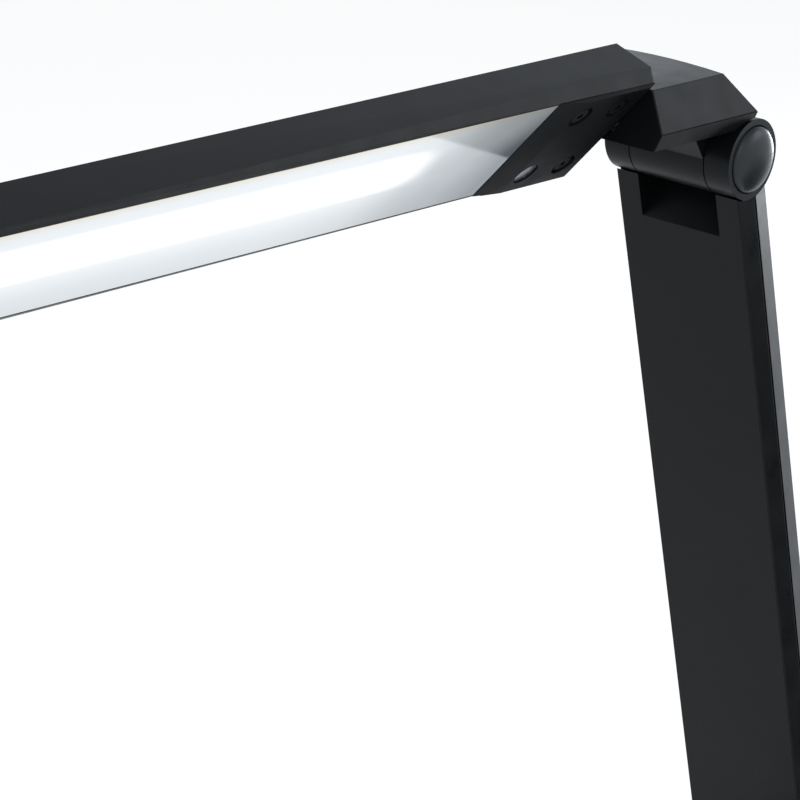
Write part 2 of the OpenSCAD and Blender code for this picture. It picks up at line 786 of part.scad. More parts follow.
module tail_screws() {
  color("dimgray") at_head() for (spot = recess_spots)
    translate([spot[0], -spot[1], -axis_h + recess_depth - 0.6])
    difference() {
      union() {
        cylinder(r = screw_head_r, h = 0.6);
        cylinder(r = screw_r, h = 5.4);
      }
      translate([0, 0, -1]) cylinder(r = 1.2, h = 1.4, $fn = 6);
    }
}

module tail_plug() {
  color(steel) at_head() translate([plug_spot[0], -plug_spot[1], -axis_h + 0.15]) {
    cylinder(r = recess_r - 0.1, h = recess_depth - 0.15);
    cylinder(r = screw_r - 0.2, h = 3);
  }
}

module diffuser() {
  color("white") at_head() box(-rebate_x + fit, rebate_x - fit, -tip_a + fit, -tail_a - fit,
    face_h, face_h + diffuser_t);
}

module light_guide() {
  z0 = face_h + diffuser_t + fit;
  color([0.9, 0.95, 1]) at_head()
    box(-guide_x + 1.6, guide_x - 1.6, -tip_a + 3, -tail_a - 1, z0, z0 + guide_t);
}

module reflector() {
  z0 = face_h + diffuser_t + guide_t + 1.5 * fit;
  color("whitesmoke") at_head() box(-guide_x, guide_x, -tip_a + 3, -tail_a - 1, z0, z0 + reflector_t);
}

module led_strips() {
  z0 = face_h + diffuser_t + fit;
  strip_x = guide_x - 1.5;
  run = tip_a - tail_a - 10;
  color("khaki") at_head() both_sides() {
    box(strip_x + 0.7, strip_x + 1.5, -tip_a + 4, -tail_a - 2, z0, z0 + guide_t);
    for (i = [0 : led_count - 1])
      translate([strip_x, -tail_a - 5 - run * i / led_count, z0 + 0.7])
        mirror([0, 1, 0]) cube([0.75, 3, 1.4]);
  }
}

module heat_spreader() {
  fin_start = tail_a + driver_gap + driver_l + 12;
  color("silver") at_head() {
    box(-guide_x, guide_x, -tip_a + 3, -tail_a - 1, spreader_z, spreader_z + spreader_t);
    for (x = [-12, 12])
      box(x - 1, x + 1, -tip_a + 20, -fin_start, spreader_z + 1, spreader_z + spreader_t + fin_h);
  }
}

module driver_board() {
  z0 = spreader_z + spreader_t + fit;
  top = z0 + board_t - run_gap;
  a0 = tail_a + driver_gap;
  color("darkgreen") at_head() {
    box(-driver_w / 2, driver_w / 2, -a0 - driver_l, -a0, z0, z0 + board_t);
    box(-driver_w * 0.36, driver_w * 0.08, -a0 - driver_l * 0.42, -a0 - driver_l * 0.24,
      top, top + chip_h);
    box(driver_w * 0.14, driver_w * 0.43, -a0 - driver_l * 0.82, -a0 - driver_l * 0.58,
      top, top + chip_h * 0.7);
    for (i = [0.12, 0.55, 0.7]) translate([-driver_w * 0.28, -a0 - driver_l * i, top])
      cylinder(r = can_r, h = chip_h);
  }
}

module head_block() {
  block_z = face_h + 2 + fit;
  color("dimgray") at_head() difference() {
    union() {
      box(-block_w / 2, block_w / 2, -head_a - block_l, -head_a - housing_wall_end - fit,
        block_z, block_top);
      box(-block_w / 2, block_w / 2, -recess_far - boss_r, -head_a - block_l + 1,
        block_z, block_z + block_foot_t);
    }
    fore_rod(spindle_r + run_gap, 0, inf);
    stop_rod(pin_r + run_gap, 0, head_a + pin_reach);
    for (spot = concat(recess_spots, [plug_spot])) translate([spot[0], -spot[1], -axis_h])
      cylinder(r = screw_r + run_gap, h = 9);
  }
}

module swivel_spindle() {
  color(steel) at_neck() translate([0, 0, twist_z]) difference() {
    fore_rod(spindle_r, nut_a - 1.8, head_a + block_l);
    fore_rod(spindle_bore, 0, inf, 32);
  }
}

module swivel_washer() {
  color(steel) at_neck() translate([0, 0, twist_z]) difference() {
    fore_rod(flange_r, washer_a, washer_a + swivel_washer_t);
    fore_rod(spindle_r + run_gap, 0, inf);
  }
}

module swivel_nut() {
  color(steel) at_neck() translate([0, 0, twist_z]) difference() {
    fore_rod(spindle_r * 1.6, nut_a, washer_a, 6);
    fore_rod(spindle_r + run_gap, 0, inf);
  }
}

module stop_pin() {
  color(steel) at_head() stop_rod(pin_r, neck_front - pin_overlap, head_a + pin_reach - 0.2);
}

grip_pad();
base_floor();
base_weight();
base_cover();
touch_panel();
control_board();
board_spacers();
power_inlet();
floor_screws();
hinge_post();
post_screws();
lower_yoke();
lower_shaft();
lower_springs();
lower_nut();
lower_caps();
arm_front_shell();
arm_rear_shell();
arm_beam();
arm_cable();
arm_screws();
upper_yoke();
upper_shaft();
upper_springs();
upper_nut();
upper_caps();
neck_lower_shell();
neck_upper_shell();
neck_end_plate();
neck_bracket();
swivel_bush();
head_housing();
head_tip();
tail_cover();
tail_screws();
tail_plug();
diffuser();
light_guide();
reflector();
led_strips();
heat_spreader();
driver_board();
head_block();
swivel_spindle();
swivel_washer();
swivel_nut();
stop_pin();
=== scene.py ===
"""Folding desk lamp: the looks of its pieces, a pale studio and the camera, all in metres."""
import json
import math

import bmesh
import bpy
from mathutils import Matrix, Vector


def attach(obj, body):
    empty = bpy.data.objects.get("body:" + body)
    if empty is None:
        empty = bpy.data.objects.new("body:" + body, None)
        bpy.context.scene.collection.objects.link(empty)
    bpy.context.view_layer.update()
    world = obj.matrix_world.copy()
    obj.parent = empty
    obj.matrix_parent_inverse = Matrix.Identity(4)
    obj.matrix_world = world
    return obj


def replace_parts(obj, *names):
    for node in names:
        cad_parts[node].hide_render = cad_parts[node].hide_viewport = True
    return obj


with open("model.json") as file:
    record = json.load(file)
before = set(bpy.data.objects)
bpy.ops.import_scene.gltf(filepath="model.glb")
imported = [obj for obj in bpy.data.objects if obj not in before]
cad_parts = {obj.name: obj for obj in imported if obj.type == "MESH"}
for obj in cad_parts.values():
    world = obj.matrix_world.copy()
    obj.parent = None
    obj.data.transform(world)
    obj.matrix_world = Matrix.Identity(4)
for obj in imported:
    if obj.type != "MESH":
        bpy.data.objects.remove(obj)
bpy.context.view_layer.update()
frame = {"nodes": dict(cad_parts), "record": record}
NODES = frame["nodes"]
RECORD = frame["record"]
BODY_OF = {node: body for body, nodes in RECORD["behaviour"]["bodies"].items() for node in nodes}
SLOT_OF = {row["node"]: row["material_slot"] for row in RECORD["subparts"]}
JOINTS = {row["name"]: row for row in RECORD["behaviour"]["joints"]}
MOUNTS = {row["name"]: row for row in RECORD["mounts"]}

# Where the joints are, and how arm, neck and head lie in the room
foot_hinge = Vector(JOINTS["arm_lean"]["pos_m"])
elbow = Vector(JOINTS["neck_tilt"]["pos_m"])
swivel = Vector(JOINTS["head_turn"]["pos_m"])
swivel_axis = Vector(JOINTS["head_turn"]["axis"])
arm_angle = math.atan2(foot_hinge.y - elbow.y, elbow.z - foot_hinge.z)
neck_angle = math.atan2(-swivel_axis.z, -swivel_axis.y)
# the head's range starts where it is square with the neck
head_twist = math.radians(JOINTS["head_turn"]["range_deg"][0])

arm_axes = Matrix.Translation(foot_hinge) @ Matrix.Rotation(arm_angle, 4, "X")
elbow_axes = Matrix.Translation(elbow) @ Matrix.Rotation(arm_angle, 4, "X")
neck_axes = Matrix.Translation(elbow) @ Matrix.Rotation(neck_angle, 4, "X")
twist_rise = (neck_axes.inverted() @ swivel).z
head_axes = neck_axes @ Matrix.Translation((0, 0, twist_rise)) @ Matrix.Rotation(head_twist, 4, "Y")
head_origin = head_axes.translation
across_head = head_axes.to_3x3() @ Vector((1, 0, 0))
along_head = head_axes.to_3x3() @ Vector((0, -1, 0))

# Half of the arm's width, and the lit plate's half width and far end
ARM_HALF_WIDTH = 0.0236
PLATE_HALF_WIDTH = 0.0218
PLATE_END = 0.348
# how far the plate leans across its width, as a rise over a run
PLATE_WARP = 0.0215

# Noise mostly lies between these two
NOISE_LOW = 0.3
NOISE_HIGH = 0.7


# Shader helpers
def new_material(name):
    made = bpy.data.materials.new(name)
    made.use_nodes = True
    return made, made.node_tree, made.node_tree.nodes["Principled BSDF"]


def add(tree, kind, links=None, **values):
    """A node of that kind. values set its properties, links its inputs."""
    made = tree.nodes.new(kind)
    for name, value in values.items():
        setattr(made, name, value)
    for socket, value in (links or {}).items():
        if isinstance(value, bpy.types.NodeSocket):
            tree.links.new(value, made.inputs[socket])
        else:
            made.inputs[socket].default_value = value
    return made


def maths(tree, operation, *values):
    return add(tree, "ShaderNodeMath", dict(enumerate(values)), operation=operation).outputs[0]


def remapped(tree, value, from_low, from_high, low, high, **values):
    return add(tree, "ShaderNodeMapRange", {
        "Value": value, "From Min": from_low, "From Max": from_high,
        "To Min": low, "To Max": high}, **values).outputs["Result"]


def object_coordinates(tree):
    return add(tree, "ShaderNodeTexCoord").outputs["Object"]


def noise(tree, vector, scale, detail=2.0, roughness=0.5):
    return add(tree, "ShaderNodeTexNoise", {
        "Vector": vector, "Scale": scale, "Detail": detail, "Roughness": roughness}).outputs["Fac"]


def two_colours(tree, value, first, second, from_low=NOISE_LOW, from_high=NOISE_HIGH):
    ramp = add(tree, "ShaderNodeValToRGB", {"Fac": value})
    ramp.color_ramp.elements[0].position = from_low
    ramp.color_ramp.elements[0].color = (*first, 1)
    ramp.color_ramp.elements[1].position = from_high
    ramp.color_ramp.elements[1].color = (*second, 1)
    return ramp.outputs["Color"]


def levels(tree, value, low, high, stops):
    """A level that follows stops of (place, level) over value, which runs from low to high."""
    place = remapped(tree, value, low, high, 0.0, 1.0)
    ramp = add(tree, "ShaderNodeValToRGB", {"Fac": place})
    while len(ramp.color_ramp.elements) < len(stops):
        ramp.color_ramp.elements.new(0.5)
    for element, (at, level) in zip(ramp.color_ramp.elements, stops):
        element.position = (at - low) / (high - low)
        element.color = (level, level, level, 1)
    return ramp.outputs["Color"]


def distance_along(tree, where, origin, direction):
    from_origin = add(tree, "ShaderNodeVectorMath", {0: where, 1: origin}, operation="SUBTRACT")
    return add(tree, "ShaderNodeVectorMath", {0: from_origin.outputs["Vector"], 1: direction},
               operation="DOT_PRODUCT").outputs["Value"]


def coloured(tree, shader, pattern, first, second):
    tree.links.new(two_colours(tree, pattern, first, second), shader.inputs["Base Color"])


def glossed(tree, shader, pattern, smooth, rough):
    roughness = remapped(tree, pattern, NOISE_LOW, NOISE_HIGH, smooth, rough)
    tree.links.new(roughness, shader.inputs["Roughness"])


def bumped(tree, shader, height, distance, strength=1.0):
    bump = add(tree, "ShaderNodeBump", {"Height": height, "Distance": distance, "Strength": strength})
    tree.links.new(bump.outputs["Normal"], shader.inputs["Normal"])


# Materials
def moulded_plastic(name, dark, light, smooth, rough, grain, depth, specular):
    """Moulded plastic with a fine eroded grain, uneven in colour and gloss, rubbed along its edges."""
    made, tree, shader = new_material(name)
    where = object_coordinates(tree)
    colour = two_colours(tree, noise(tree, where, 28, 3), dark, light)
    edge = add(tree, "ShaderNodeAttribute", attribute_name="rubbed_edge").outputs["Fac"]
    scuffed = maths(tree, "MULTIPLY", edge, noise(tree, where, 160, 3))
    bared = (*[c * 1.9 + 0.004 for c in light], 1)
    worn = add(tree, "ShaderNodeMix", {"Factor": scuffed, "A": colour, "B": bared}, data_type="RGBA")
    tree.links.new(worn.outputs["Result"], shader.inputs["Base Color"])
    glossed(tree, shader, noise(tree, where, 90, 4), smooth, rough)
    shader.inputs["Specular IOR Level"].default_value = specular
    bumped(tree, shader, noise(tree, where, grain, 2, 0.65), depth, 0.6)
    return made


def brushed_metal(name, dark, light, rough, turned=(0, 0, 0), stretch=(1, 1, 14)):
    """Metal with fine lines, drawn out by stretch along axes that are turned by those angles."""
    made, tree, shader = new_material(name)
    where = object_coordinates(tree)
    drawn = add(tree, "ShaderNodeMapping", {"Vector": where, "Scale": stretch, "Rotation": turned})
    lines = noise(tree, drawn.outputs["Vector"], 420, 4, 0.7)
    coloured(tree, shader, lines, dark, light)
    glossed(tree, shader, lines, rough - 0.08, rough + 0.1)
    shader.inputs["Metallic"].default_value = 1.0
    bumped(tree, shader, lines, 0.00002, 0.5)
    return made


def gloss_panel(name):
    made, tree, shader = new_material(name)
    where = object_coordinates(tree)
    coloured(tree, shader, noise(tree, where, 60), (0.006, 0.006, 0.007), (0.009, 0.009, 0.011))
    glossed(tree, shader, noise(tree, where, 25, 5, 0.7), 0.06, 0.16)
    shader.inputs["Coat Weight"].default_value = 0.5
    shader.inputs["Coat Roughness"].default_value = 0.04
    return made


def grip_rubber(name):
    made, tree, shader = new_material(name)
    where = object_coordinates(tree)
    coloured(tree, shader, noise(tree, where, 300, 3), (0.012, 0.012, 0.012), (0.024, 0.024, 0.023))
    glossed(tree, shader, noise(tree, where, 200, 3), 0.75, 0.95)
    ribs = add(tree, "ShaderNodeTexWave", {"Vector": where, "Scale": 140, "Distortion": 0.0},
               wave_type="BANDS", bands_direction="DIAGONAL").outputs["Fac"]
    bumped(tree, shader, ribs, 0.0003, 0.8)
    return made


def rough_casting(name):
    made, tree, shader = new_material(name)
    where = object_coordinates(tree)
    coloured(tree, shader, noise(tree, where, 90, 5), (0.09, 0.09, 0.095), (0.18, 0.18, 0.185))
    shader.inputs["Metallic"].default_value = 0.8
    glossed(tree, shader, noise(tree, where, 240, 3), 0.5, 0.75)
    bumped(tree, shader, noise(tree, where, 800, 4, 0.7), 0.00012, 0.8)
    return made


def circuit_board(name):
    made, tree, shader = new_material(name)
    where = object_coordinates(tree)
    tracks = add(tree, "ShaderNodeTexBrick", {
        "Vector": where, "Color1": (0.006, 0.06, 0.022, 1), "Color2": (0.008, 0.085, 0.03, 1),
        "Mortar": (0.05, 0.2, 0.06, 1), "Scale": 60, "Mortar Size": 0.03,
        "Brick Width": 0.9, "Row Height": 0.22})
    tree.links.new(tracks.outputs["Color"], shader.inputs["Base Color"])
    glossed(tree, shader, noise(tree, where, 300), 0.25, 0.4)
    bumped(tree, shader, tracks.outputs["Fac"], 0.00004, 0.5)
    return made


def phosphor_strip(name):
    made, tree, shader = new_material(name)
    where = object_coordinates(tree)
    coloured(tree, shader, noise(tree, where, 500, 3), (0.78, 0.70, 0.30), (0.88, 0.84, 0.52))
    glossed(tree, shader, noise(tree, where, 400), 0.35, 0.55)
    shader.inputs["Emission Color"].default_value = (1.0, 0.95, 0.85, 1)
    shader.inputs["Emission Strength"].default_value = 0.6
    return made


def matt_film(name, dark, light):
    made, tree, shader = new_material(name)
    where = object_coordinates(tree)
    coloured(tree, shader, noise(tree, where, 120, 3), dark, light)
    glossed(tree, shader, noise(tree, where, 350), 0.45, 0.7)
    bumped(tree, shader, noise(tree, where, 1500), 0.00002, 0.5)
    return made


def clear_acrylic(name):
    made, tree, shader = new_material(name)
    where = object_coordinates(tree)
    coloured(tree, shader, noise(tree, where, 40), (0.93, 0.96, 0.98), (0.97, 0.99, 1.0))
    glossed(tree, shader, noise(tree, where, 700), 0.03, 0.08)
    shader.inputs["Transmission Weight"].default_value = 0.9
    shader.inputs["IOR"].default_value = 1.49
    return made


def bright_core(tree, along, across):
    """The brighter middle of the lit plate, which begins with a rounded front."""
    middle = levels(tree, across, -PLATE_HALF_WIDTH, PLATE_HALF_WIDTH, [
        (-0.0055, 0.0), (0.0, 1.0), (0.009, 1.0), (0.0145, 0.0)])
    off_middle = maths(tree, "SUBTRACT", across, 0.0017)
    rounding = maths(tree, "MULTIPLY", off_middle, off_middle)
    front = maths(tree, "MULTIPLY_ADD", rounding, -30.0, along)
    rising = remapped(tree, front, 0.138, 0.160, 0.0, 0.6, interpolation_type="SMOOTHSTEP")
    return maths(tree, "MULTIPLY", rising, middle)


def lit_opal(name):
    """Polished opal plate: two light strips behind it, dimmer at its sides, fading out before the tail."""
    made, tree, shader = new_material(name)
    where = object_coordinates(tree)
    along = distance_along(tree, where, head_origin, along_head)
    across = distance_along(tree, where, head_origin, across_head)
    near_side = maths(tree, "MAXIMUM", across, 0.0)
    leading = maths(tree, "MULTIPLY_ADD", near_side, 0.8, along)
    start = levels(tree, leading, 0.100, 0.205, [
        (0.104, 0.0), (0.115, 0.18), (0.125, 0.33), (0.135, 0.40), (0.145, 0.52), (0.155, 0.70),
        (0.165, 0.85), (0.180, 0.94), (0.200, 1.0)])
    sides = levels(tree, across, -PLATE_HALF_WIDTH, PLATE_HALF_WIDTH, [
        (-0.0205, 0.45), (-0.014, 0.50), (-0.008, 0.58), (-0.004, 0.65), (0.012, 0.64), (0.0205, 0.56)])
    tip = remapped(tree, along, PLATE_END - 0.02, PLATE_END + 0.004, 1.0, 0.55,
                   interpolation_type="SMOOTHSTEP")
    glow = maths(tree, "MULTIPLY_ADD", start, sides, bright_core(tree, along, across))
    tree.links.new(maths(tree, "MULTIPLY", glow, tip), shader.inputs["Emission Strength"])
    # the near edge scatters a warmer light
    edge = remapped(tree, across, PLATE_HALF_WIDTH * 0.86, PLATE_HALF_WIDTH, 0.0, 1.0)
    tree.links.new(two_colours(tree, edge, (0.95, 0.985, 1.0), (1.0, 0.90, 0.72), 0.0, 1.0),
                   shader.inputs["Emission Color"])
    coloured(tree, shader, noise(tree, where, 50, 3), (0.345, 0.39, 0.425), (0.38, 0.425, 0.46))
    glossed(tree, shader, noise(tree, where, 35, 3), 0.035, 0.05)
    bumped(tree, shader, across, PLATE_WARP)
    return made


CHARCOAL = moulded_plastic("charcoal_moulding", dark=(0.0064, 0.0071, 0.0084),
                           light=(0.0090, 0.0100, 0.0116), smooth=0.27, rough=0.35,
                           grain=1700, depth=0.000016, specular=0.14)
# Lighter satin paint for the hinge caps and the knuckles' end faces: partly their own paint, partly a painted
# highlight standing in for the light their rims reflect
HINGE_PAINT_AND_SHEEN = moulded_plastic("hinge_paint_with_painted_sheen", dark=(0.034, 0.0385, 0.043),
                              light=(0.042, 0.047, 0.052), smooth=0.26, rough=0.34,
                              grain=1900, depth=0.000010, specular=0.28)
COVER = moulded_plastic("matt_tail_cover", dark=(0.0060, 0.0067, 0.0080),
                        light=(0.0085, 0.0094, 0.0110), smooth=0.36, rough=0.46,
                        grain=2600, depth=0.000014, specular=0.06)
BLACK = moulded_plastic("black_moulding", dark=(0.0022, 0.0026, 0.0027),
                        light=(0.0040, 0.0045, 0.0046), smooth=0.5, rough=0.65,
                        grain=2200, depth=0.00003, specular=0.08)
MATERIALS = {
    "charcoal": CHARCOAL,
    "black_plastic": BLACK,
    "gloss_black": gloss_panel("gloss_touch_panel"),
    "pad": grip_rubber("ribbed_grip_rubber"),
    "iron": rough_casting("raw_cast_iron"),
    "steel": brushed_metal("zinc_plated_steel", (0.42, 0.43, 0.45), (0.62, 0.63, 0.65), 0.34),
    "dark_steel": brushed_metal("blackened_steel", (0.008, 0.0085, 0.0095), (0.018, 0.019, 0.021), 0.5),
    "bright": brushed_metal("bright_plug_metal", (0.60, 0.62, 0.66), (0.74, 0.76, 0.80), 0.3,
                            turned=(0.6, 0, 0.3)),
    "aluminium": brushed_metal("extruded_aluminium", (0.55, 0.56, 0.58), (0.70, 0.71, 0.73), 0.36,
                               turned=(-arm_angle, 0, 0), stretch=(14, 14, 1)),
    "brass": brushed_metal("turned_brass", (0.55, 0.38, 0.14), (0.72, 0.53, 0.22), 0.3),
    "board": circuit_board("green_circuit_board"),
    "led": phosphor_strip("diode_phosphor"),
    "diffuser": lit_opal("lit_opal_acrylic"),
    "clear": clear_acrylic("clear_light_guide"),
    "white": matt_film("white_reflector_film", (0.80, 0.80, 0.80), (0.88, 0.88, 0.88)),
    "cable": matt_film("cable_sheath", (0.012, 0.012, 0.012), (0.022, 0.022, 0.022)),
}

for node, piece in NODES.items():
    piece.data.materials.clear()
    piece.data.materials.append(MATERIALS["dark_steel" if node == "arm_screws" else SLOT_OF[node]])

# Points closer than this are one, and faces that meet at less than this angle are one flat
MERGE_DISTANCE = 0.000004
FLAT_ANGLE = 0.012
# Edges up to this angle are shaded smooth, and those above this one are rounded
SMOOTH_ANGLE = 0.6
ROUNDED_ANGLE = 0.42
# Rounding along the arm's side, where its two halves meet in a V
SEAM_ROUNDING = 0.0006
# Rounding of each moulding's edges
EDGE_WIDTHS = {
    "head_housing": 0.00035, "head_tip": 0.00035, "tail_cover": 0.00010,
    "neck_lower_shell": 0.00030, "neck_upper_shell": 0.00030, "neck_end_plate": 0.00010,
    "arm_front_shell": 0.00018, "arm_rear_shell": 0.00022,
    "upper_yoke": 0.00025, "lower_yoke": 0.00025,
    "hinge_post": 0.0006, "base_floor": 0.0003, "touch_panel": 0.0003, "diffuser": 0.00025,
}


# Pieces
def merged_copy(node):
    """A node's shape with its loose triangles joined."""
    shape = bmesh.new()
    shape.from_mesh(NODES[node].data)
    bmesh.ops.remove_doubles(shape, verts=shape.verts, dist=MERGE_DISTANCE)
    return shape


def edges_above(shape, angle):
    return [e for e in shape.edges if len(e.link_faces) == 2 and e.calc_face_angle(0) > angle]


def rounded(shape, edges, width, segments=2):
    """Rounds those edges by that width and gives back the faces of the rounding."""
    return bmesh.ops.bevel(shape, geom=edges, offset=width, offset_type="OFFSET", segments=segments,
                           profile=0.5, affect="EDGES", clamp_overlap=True, material=-1)["faces"]


def finished(shape, name, body, slot):
    """Makes a piece of a bmesh and lets it ride on its body."""
    data = bpy.data.meshes.new(name)
    shape.to_mesh(data)
    shape.free()
    data.shade_smooth()
    data.set_sharp_from_angle(angle=SMOOTH_ANGLE)
    piece = bpy.data.objects.new(name, data)
    bpy.context.scene.collection.objects.link(piece)
    data.materials.append(MATERIALS[slot])
    even = piece.modifiers.new("even_shading", "WEIGHTED_NORMAL")
    even.weight = 100
    even.keep_sharp = True
    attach(piece, body)
    return piece


def on_side_seam(edge):
    """Whether an edge of the arm's front half runs along its side, where the two halves meet."""
    ends = [arm_axes.inverted() @ v.co for v in edge.verts]
    return (all(abs(p.x) > ARM_HALF_WIDTH - 0.0001 and abs(p.y + 0.0002) < 0.0001 for p in ends)
            and edge.calc_length() > 0.02)


def softened(node, width):
    """The same moulding with its edges rounded by that width, as it leaves the mould."""
    shape = merged_copy(node)
    bmesh.ops.dissolve_limit(shape, angle_limit=FLAT_ANGLE, use_dissolve_boundaries=False,
                             verts=shape.verts, edges=shape.edges)
    if node == "arm_front_shell":
        rounded(shape, [e for e in shape.edges if on_side_seam(e)], SEAM_ROUNDING, segments=4)
    layer = shape.faces.layers.float.new("rubbed_edge")
    for face in rounded(shape, edges_above(shape, ROUNDED_ANGLE), width):
        face[layer] = 1.0
    piece = finished(shape, node + "_dressed", BODY_OF[node], SLOT_OF[node])
    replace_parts(piece, node)
    return piece


def domed_caps(node, hinge):
    """The two end caps of a hinge barrel: a low dome with a round shoulder, over the skirt that clips in."""
    barrel_end = 0.0238
    bore_radius, skirt_radius, dome_radius = 0.0090, 0.0108, 0.01065
    skirt_depth, floor_depth, lip_depth = 0.0040, 0.0020, 0.0010
    shoulder, rise = 0.0001, 0.0031
    dome_steps = 16
    # points of the section, as a radius and a distance out of the barrel's end
    section = [(0, -floor_depth), (bore_radius, -floor_depth), (bore_radius, -skirt_depth),
               (skirt_radius, -skirt_depth), (skirt_radius, -lip_depth), (dome_radius, -lip_depth)]
    for step in range(dome_steps):
        turn = step * math.pi / 2 / dome_steps
        section.append((dome_radius * math.cos(turn), shoulder + rise * math.sin(turn)))
    section.append((0, shoulder + rise))
    shape = bmesh.new()
    for side in (1, -1):
        points = [shape.verts.new((side * (barrel_end + out), 0, radius)) for radius, out in section]
        profile = points + [shape.edges.new(pair) for pair in zip(points, points[1:])]
        bmesh.ops.spin(shape, geom=profile, cent=(0, 0, 0), axis=(1, 0, 0), angle=2 * math.pi, steps=72,
                       use_merge=True)
    bmesh.ops.remove_doubles(shape, verts=shape.verts, dist=MERGE_DISTANCE)
    bmesh.ops.recalc_face_normals(shape, faces=shape.faces)
    bmesh.ops.transform(shape, matrix=hinge, verts=shape.verts)
    caps = finished(shape, node + "_dressed", "arm", "charcoal")
    # the caps take the lighter hinge paint, which is partly a painted highlight
    caps.data.materials[0] = HINGE_PAINT_AND_SHEEN
    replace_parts(caps, node)


def seated_plug():
    """The bright plug, sunk in its recess as the screws are."""
    seat_depth, rim_height, rim_angle, rim_width = 0.00055, 0.0002, 0.8, 0.00008
    shape = merged_copy("tail_plug")
    bmesh.ops.transform(shape, matrix=head_axes.inverted(), verts=shape.verts)
    face_height = min(v.co.z for v in shape.verts)
    for vertex in shape.verts:
        if vertex.co.z < face_height + rim_height:
            vertex.co.z += seat_depth
    rounded(shape, edges_above(shape, rim_angle), rim_width)
    bmesh.ops.transform(shape, matrix=head_axes, verts=shape.verts)
    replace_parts(finished(shape, "tail_plug_dressed", "head", "bright"), "tail_plug")


def inlet_contact():
    """Metal sleeve on the centre pin of the power inlet."""
    radius, length, depth, tip_width = 0.00108, 0.0098, 0.0060, 0.0003
    middle = Vector(MOUNTS["power_inlet"]["pos_m"]) - Vector((0, depth, 0))
    shape = bmesh.new()
    bmesh.ops.create_cone(shape, cap_ends=True, segments=32, radius1=radius, radius2=radius, depth=length,
                          matrix=Matrix.Translation(middle) @ Matrix.Rotation(-math.pi / 2, 4, "X"))
    rounded(shape, [e for e in shape.edges if min(v.co.y for v in e.verts) > middle.y], tip_width, segments=3)
    finished(shape, "inlet_contact", "base", "steel")


# Middle of the touch strip's face, and how thick its print is
PANEL_MIDDLE = Vector((0, -0.068, 0.022))
PRINT_HEIGHT = 0.00003


def printed_ring(name, place, inner, outer):
    shape = bmesh.new()
    circles = [bmesh.ops.create_circle(shape, cap_ends=False, segments=48, radius=radius)["verts"]
               for radius in (outer, inner)]
    loops = list({e for circle in circles for v in circle for e in v.link_edges})
    flat = bmesh.ops.bridge_loops(shape, edges=loops)["faces"]
    raised = bmesh.ops.extrude_face_region(shape, geom=flat)["geom"]
    bmesh.ops.translate(shape, vec=(0, 0, PRINT_HEIGHT),
                        verts=[v for v in raised if isinstance(v, bmesh.types.BMVert)])
    bmesh.ops.recalc_face_normals(shape, faces=shape.faces)
    bmesh.ops.translate(shape, vec=PANEL_MIDDLE + Vector((*place, 0)), verts=shape.verts)
    finished(shape, name, "base", "white")


def printed_bar(name, place, width, depth):
    shape = bmesh.new()
    size = Matrix.Diagonal((width, depth, PRINT_HEIGHT, 1))
    lift = Matrix.Translation(PANEL_MIDDLE + Vector((*place, PRINT_HEIGHT / 2)))
    bmesh.ops.create_cube(shape, size=1, matrix=lift @ size)
    upright = [e for e in shape.edges if abs(e.verts[0].co.z - e.verts[1].co.z) > PRINT_HEIGHT / 2]
    rounded(shape, upright, min(width, depth) * 0.45, segments=4)
    finished(shape, name, "base", "white")


def panel_marks():
    """Printed marks of the touch strip: an on-off ring, and a row of growing dots for the brightness."""
    ring_x, first_x, pitch = -0.030, -0.008, 0.0085
    smallest, growth = 0.0010, 0.0005
    printed_ring("power_ring", (ring_x, 0), 0.0027, 0.0032)
    printed_bar("power_bar", (ring_x, 0.0011), 0.0006, 0.0030)
    for step in range(5):
        side = smallest + growth * step
        printed_bar("brightness_mark_%d" % (step + 1), (first_x + pitch * step, 0), side, side)


for node, width in EDGE_WIDTHS.items():
    dressed = softened(node, width)
    if node.endswith("_yoke"):
        # the knuckles' end faces take the caps' lighter paint, which is partly a painted highlight on their
        # rims
        dressed.data.materials.append(HINGE_PAINT_AND_SHEEN)
        for face in dressed.data.polygons:
            face.material_index = int(abs(face.normal.x) > 0.97)
    elif node == "tail_cover":
        dressed.data.materials[0] = COVER
domed_caps("upper_caps", elbow_axes)
domed_caps("lower_caps", arm_axes)
seated_plug()
inlet_contact()
panel_marks()

# What the studio shines with: the cool white that gloss picks up, the room's light and the softboxes
WHITE = (1, 1, 1, 1)
COOL_MIRROR = (0.93, 0.985, 1.05, 1)
ROOM_COLOUR = (0.94, 0.975, 1, 1)
ROOM_STRENGTH = 0.30
SOFTBOX_COLOUR = (0.92, 0.965, 1.0)
FLOOR_GREY = 0.42
FLOOR_STRENGTH = 0.74
FLOOR_SIZE = 7
# Gloss sees this much of the room's white near the horizon and overhead, fading between two heights
MIRROR_LOW, MIRROR_HIGH = 1.04, 0.42
MIRROR_FADE = (0.22, 0.64)


# Studio
def stage_piece(name, shape, material):
    data = bpy.data.meshes.new(name)
    shape.to_mesh(data)
    shape.free()
    data.materials.append(material)
    piece = bpy.data.objects.new(name, data)
    bpy.context.scene.collection.objects.link(piece)
    return piece


